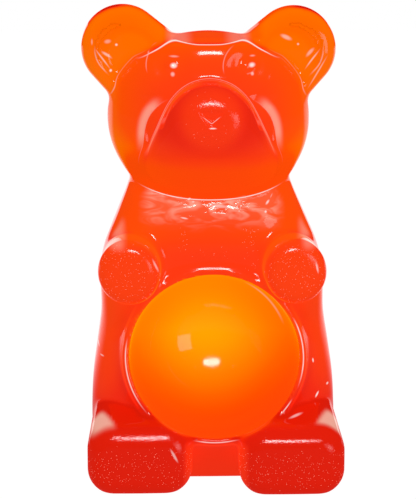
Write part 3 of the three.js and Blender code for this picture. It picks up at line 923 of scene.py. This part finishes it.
def add(tree, kind, given=None, **settings):
    return addAny(tree, "ShaderNode" + kind, given, **settings)


def sumOf(tree, operation, *values):
    return add(tree, "Math", dict(enumerate(values)), operation=operation).outputs[0]


def vectorOf(tree, operation, one, other):
    return add(tree, "VectorMath", {0: one, 1: other}, operation=operation).outputs["Vector"]


def ranged(tree, value, start, end, kind="SMOOTHSTEP"):
    # carries a value from one span to another
    given = {"Value": value, "From Min": start[0], "From Max": start[1], "To Min": end[0], "To Max": end[1]}
    return add(tree, "MapRange", given, interpolation_type=kind).outputs["Result"]


def mixedColour(tree, share, one, other, **settings):
    return add(tree, "Mix", {"Factor": share, 6: one, 7: other}, data_type="RGBA", **settings).outputs[2]


def mixedValue(tree, share, one, other):
    return add(tree, "Mix", {"Factor": share, 2: one, 3: other}, data_type="FLOAT").outputs[0]


def skinValue(tree, name, output="Fac"):
    return add(tree, "Attribute", attribute_name=name).outputs[output]


def newMaterial(name):
    material = bpy.data.materials.new(name)
    material.use_nodes = True
    tree = material.node_tree
    tree.nodes.clear()
    shader = add(tree, "BsdfPrincipled")
    add(tree, "OutputMaterial", {"Surface": shader.outputs["BSDF"]})
    return material, tree, shader


def newGroup(name, inputs, output=("Amount", "Float"), kind="ShaderNodeTree"):
    # a group with one output, and its inputs by name and kind
    tree = bpy.data.node_groups.new(name, kind)
    for title, socket in inputs.items():
        tree.interface.new_socket(title, in_out="INPUT", socket_type="NodeSocket" + socket)
    tree.interface.new_socket(output[0], in_out="OUTPUT", socket_type="NodeSocket" + output[1])
    return tree, tree.nodes.new("NodeGroupInput").outputs, tree.nodes.new("NodeGroupOutput")


def makePaintedHighlightLine():
    # a painted highlight line that fades to both sides; its place holds the gap to it and how much of it
    # shows
    inputs = {"Place": "Vector", "Half Width": "Float", "Strength": "Float"}
    tree, given, result = newGroup("paintedHighlightLine", inputs)
    parts = add(tree, "SeparateXYZ", {0: given["Place"]}).outputs
    size = sumOf(tree, "ABSOLUTE", parts["X"])
    pulse = ranged(tree, size, (0, given["Half Width"]), (1, 0))
    seen = sumOf(tree, "MULTIPLY", pulse, parts["Y"])
    fill(tree, result, {"Amount": sumOf(tree, "MULTIPLY", seen, given["Strength"])})
    return tree


def makePaintedGlint():
    # a painted glint: an oval highlight that fades outwards, turned about the fore-and-aft direction
    inputs = {"Place": "Vector", "Centre": "Vector", "Size": "Vector", "Turn": "Float", "Strength": "Float"}
    tree, given, result = newGroup("paintedGlint", inputs)
    away = vectorOf(tree, "SUBTRACT", given["Place"], given["Centre"])
    turned = add(tree, "VectorRotate", {"Vector": away, "Angle": given["Turn"]}, rotation_type="Y_AXIS")
    scaled = vectorOf(tree, "DIVIDE", turned.outputs["Vector"], given["Size"])
    length = add(tree, "VectorMath", {0: scaled}, operation="LENGTH").outputs["Value"]
    fade = ranged(tree, length, (jelly["glintCore"], 1), (1, 0))
    fill(tree, result, {"Amount": sumOf(tree, "MULTIPLY", fade, given["Strength"])})
    return tree


def depthColour(tree, name, depthIn):
    ramp = add(tree, "ValToRGB", {"Fac": depthIn})
    stops = ramp.color_ramp.elements
    for n, (place, shade) in enumerate(jelly[name]):
        stop = stops[n] if n < 2 else stops.new(place / glow["deepest"])
        stop.position = place / glow["deepest"]
        stop.color = (*shade, 1)
    return ramp.outputs["Color"]


def paintedHighlights(tree, place):
    # the brightest of all painted highlight lines and painted glints at each point
    paintedHighlightLine, paintedGlint = makePaintedHighlightLine(), makePaintedGlint()
    amounts = []
    for name, (halfWidth, strength, _) in lines.items():
        given = {"Place": skinValue(tree, name, "Vector"), "Half Width": halfWidth, "Strength": strength}
        amounts.append(add(tree, "Group", given, node_tree=paintedHighlightLine).outputs["Amount"])
    for at, (across, up), turn, strength in paintedGlints:
        given = {"Place": place, "Centre": [(a + s) / 1000 for a, s in zip(at, shift)],
                 "Size": (across / 1000, jelly["glintDepth"], up / 1000),
                 "Turn": math.radians(turn), "Strength": strength}
        amounts.append(add(tree, "Group", given, node_tree=paintedGlint).outputs["Amount"])
    most = amounts[0]
    for amount in amounts[1:]:
        most = sumOf(tree, "MAXIMUM", most, amount)
    return most


def makeJelly():
    j = jelly
    material, tree, shader = newMaterial("gummyJelly")
    place = add(tree, "TexCoord").outputs["Object"]
    depthIn, chest, pads = skinValue(tree, "jellyDepth"), skinValue(tree, "chest"), skinValue(tree, "pads")
    skinColour, bowlColour = depthColour(tree, "colours", depthIn), depthColour(tree, "bowlColours", depthIn)
    colour = mixedColour(tree, skinValue(tree, "bowl"), skinColour, bowlColour)
    soft = mixedColour(tree, 1, colour, [j["diffuseShare"]] * 3 + [1], blend_type="MULTIPLY")
    # painted sheen under the chin, broken by wrinkles, which also bump the surface below
    stretched = vectorOf(tree, "MULTIPLY", place, j["wrinkleStretch"])
    wrinkles = add(tree, "TexNoise", {
        "Vector": stretched, "Scale": j["wrinkleScale"], "Detail": j["wrinkleDetail"],
        "Distortion": j["wrinkleDistortion"],
    }).outputs["Fac"]
    folds = ranged(tree, wrinkles, j["foldFrom"], j["foldTo"])
    paintedSheenShare = sumOf(tree, "MULTIPLY_ADD", chest, folds, skinValue(tree, "paintedSheen"))
    shined = mixedColour(tree, paintedSheenShare, colour, j["paintedSheenColour"])
    # painted highlight lines and painted glints lighten the glow towards white
    lined = mixedColour(tree, paintedHighlights(tree, place), shined, j["paintedHighlightColour"])
    rough = ranged(tree, pads, (0, 1), (j["roughness"], j["padRoughness"]), "LINEAR")
    mirrored = ranged(tree, skinValue(tree, "calm"), (0, 1), (j["specular"], j["calmSpecular"]), "LINEAR")
    # grain in the pressed faces, and the wrinkles' own relief
    grain = add(tree, "TexNoise", {"Vector": place, "Scale": j["grainScale"], "Detail": j["grainDetail"]})
    grained = sumOf(tree, "MULTIPLY", grain.outputs["Fac"], pads)
    folded = sumOf(tree, "MULTIPLY", wrinkles, chest)
    normal = add(tree, "Bump", {"Distance": j["grainHeight"], "Height": grained}).outputs["Normal"]
    waves = add(tree, "Bump", {"Distance": j["wrinkleHeight"], "Height": folded, "Normal": normal})
    # the painted glow goes into the emission
    fill(tree, shader, {
        "Base Color": soft, "Emission Color": lined, "Emission Strength": j["emission"], "IOR": j["ior"],
        "Roughness": rough, "Specular IOR Level": mirrored, "Normal": waves.outputs["Normal"],
    })
    return material


print("mixing the jelly")
mesh.materials.append(makeJelly())


# tiny bubbles, which glow pale as painted glints

bubbles = {
    "Density": 85000.0, "Smallest": 0.00008, "Largest": 0.00028, "Seed": 7,
    "colour": (1, 0.4, 0.28, 1), "glow": 0.75,
}


def makeBubbleScatter(material):
    # small balls set at random on a mesh, as close as its attribute bubbles says
    inputs = {"Skin": "Geometry", "Density": "Float", "Smallest": "Float", "Largest": "Float", "Seed": "Int"}
    tree, given, result = newGroup("bubbleScatter", inputs, ("Bubbles", "Geometry"), "GeometryNodeTree")
    share = addAny(tree, "GeometryNodeInputNamedAttribute", {"Name": "bubbles"}, data_type="FLOAT")
    density = sumOf(tree, "MULTIPLY", share.outputs["Attribute"], given["Density"])
    spread = addAny(tree, "GeometryNodeDistributePointsOnFaces", {
        "Mesh": given["Skin"], "Density": density, "Seed": given["Seed"],
    })
    size = addAny(tree, "FunctionNodeRandomValue", {
        2: given["Smallest"], 3: given["Largest"], "Seed": given["Seed"],
    }, data_type="FLOAT")
    ball = addAny(tree, "GeometryNodeMeshIcoSphere", {"Radius": 1, "Subdivisions": 1})
    placed = addAny(tree, "GeometryNodeInstanceOnPoints", {
        "Points": spread.outputs["Points"], "Instance": ball.outputs["Mesh"], "Scale": size.outputs[1],
    }).outputs["Instances"]
    real = addAny(tree, "GeometryNodeRealizeInstances", {"Geometry": placed}).outputs["Geometry"]
    painted = addAny(tree, "GeometryNodeSetMaterial", {"Geometry": real, "Material": material})
    fill(tree, result, {"Bubbles": painted.outputs["Geometry"]})
    return tree


def scatterBubbles():
    # the bubbles' pale emission is a painted glint
    material, tree, shader = newMaterial("bubblePaintedGlint")
    fill(tree, shader, {"Base Color": bubbles["colour"], "Emission Color": bubbles["colour"],
                        "Emission Strength": bubbles["glow"]})
    scatter = makeBubbleScatter(material)
    piece = newObject("surfaceBubbles", mesh)
    modifier = piece.modifiers.new("bubbleScatter", "NODES")
    modifier.node_group = scatter
    for socket in scatter.interface.items_tree:
        if socket.name in bubbles:
            modifier[socket.identifier] = bubbles[socket.name]
    graph = bpy.context.evaluated_depsgraph_get()
    made = bpy.data.meshes.new_from_object(piece.evaluated_get(graph), depsgraph=graph)
    piece.modifiers.remove(modifier)
    piece.data = made
    made.name = "surfaceBubbles"
    print("bubbles:", len(made.polygons), "triangles")
    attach(piece, "root")


scatterBubbles()


# floor, light and camera

studio = {
    "floorSize": 6.0, "floorGlow": 1.0, "floorReturn": 0.04, "floorSpread": 0.45, "floorFade": (0.0, 0.5),
    "floorColour": (0.05, 0.05, 0.05, 1), "floorRoughness": 0.8, "floorSpecular": 0.1, "white": (1, 1, 1, 1),
    "backdrop": 1.0, "room": 0.015, "fill": 0.2,
    "backdropEdge": (0.90, 0.965), "backdropTowards": (0, 0.97, -0.24),
}


def makeFloor():
    # the floor in front of the bear glows for the camera alone
    s = studio
    half = s["floorSize"] / 2
    corners = [(-half, -half, 0), (half, -half, 0), (half, half, 0), (-half, half, 0)]
    floorMesh = bpy.data.meshes.new("studioFloor")
    floorMesh.from_pydata(corners, [], [(0, 1, 2, 3)])
    floor = newObject("studioFloor", floorMesh)
    material, tree, shader = newMaterial("paleFloor")
    path = add(tree, "LightPath").outputs
    parts = add(tree, "SeparateXYZ", {0: add(tree, "TexCoord").outputs["Object"]}).outputs
    aside = sumOf(tree, "ABSOLUTE", parts["X"])
    behind = sumOf(tree, "MULTIPLY_ADD", aside, -s["floorSpread"], parts["Y"])
    far = ranged(tree, behind, s["floorFade"], (s["floorReturn"], s["floorGlow"]))
    returned = mixedValue(tree, path["Is Glossy Ray"], s["floorReturn"], far)
    seen = mixedValue(tree, path["Is Camera Ray"], returned, s["floorGlow"])
    fill(tree, shader, {
        "Base Color": s["floorColour"], "Roughness": s["floorRoughness"],
        "Specular IOR Level": s["floorSpecular"], "Emission Color": s["white"], "Emission Strength": seen,
    })
    floorMesh.materials.append(material)


def makeWorld():
    # a bright backdrop behind the bear, dimmer towards the viewer's side
    s = studio
    world = bpy.data.worlds.new("studioWorld")
    world.use_nodes = True
    scene.world = world
    tree = world.node_tree
    way = add(tree, "TexCoord").outputs["Generated"]
    nearness = add(tree, "VectorMath", {0: way, 1: s["backdropTowards"]}, operation="DOT_PRODUCT")
    seen = ranged(tree, nearness.outputs["Value"], s["backdropEdge"], (s["room"], s["backdrop"]))
    path = add(tree, "LightPath").outputs
    for ray, value in (("Is Diffuse Ray", s["fill"]), ("Is Camera Ray", 1.0)):
        seen = mixedValue(tree, path[ray], seen, value)
    fill(tree, tree.nodes["Background"], {"Color": s["white"], "Strength": seen})


def softbox(name, place, target, width, height, power):
    light = bpy.data.lights.new(name, "AREA")
    light.shape = "RECTANGLE"
    light.size, light.size_y = width, height
    light.energy = power
    return turnedObject(name, light, place, (target - place).to_track_quat("-Z", "Y"))


view = {
    "azimuth": math.radians(-1.8), "elevation": math.radians(13), "distance": 2.2,
    "target": (0, -0.010, 0.214), "focal": 172.9, "sensor": 36, "nudgeRight": -0.0046, "nudgeUp": -0.0039,
}


def makeCamera():
    v = view
    sinA, cosA = math.sin(v["azimuth"]), math.cos(v["azimuth"])
    sinE, cosE = math.sin(v["elevation"]), math.cos(v["elevation"])
    forward = Vector((-sinA * cosE, cosA * cosE, -sinE))
    right = Vector((cosA, sinA, 0))
    up = right.cross(forward)
    place = (Vector(v["target"]) + Vector((shift[0], shift[1], 0)) / 1000
             - forward * v["distance"] + right * v["nudgeRight"] + up * v["nudgeUp"])
    turn = Matrix((right, up, -forward)).transposed().to_quaternion()
    scene.camera = turnedObject("camera", bpy.data.cameras.new("camera"), place, turn)
    scene.camera.data.lens = v["focal"]
    scene.camera.data.sensor_width = v["sensor"]


print("setting the studio")
makeFloor()
makeWorld()
makeCamera()
lamps = (
    # azimuth from the front, elevation, distance from a point at this height, size, power, and
    # whether it lights the bear or is only mirrored in it
    ("topBox", 3, 38, 1.8, 0.22, 0.55, 0.22, 7, True),
    ("rightBox", 40, 6, 1.6, 0.22, 0.6, 0.6, 3, True),
    ("topGlint", 3, 38, 1.8, 0.22, 0.55, 0.16, 22, False),
)
for name, azimuth, elevation, distance, level, width, height, power, lights in lamps:
    a, e = math.radians(azimuth), math.radians(elevation)
    middle = Vector((0, 0, level))
    away = Vector((math.sin(a) * math.cos(e), -math.cos(a) * math.cos(e), math.sin(e)))
    softbox(name, middle + away * distance, middle, width, height, power).visible_diffuse = lights
scene.view_settings.view_transform = "Standard"
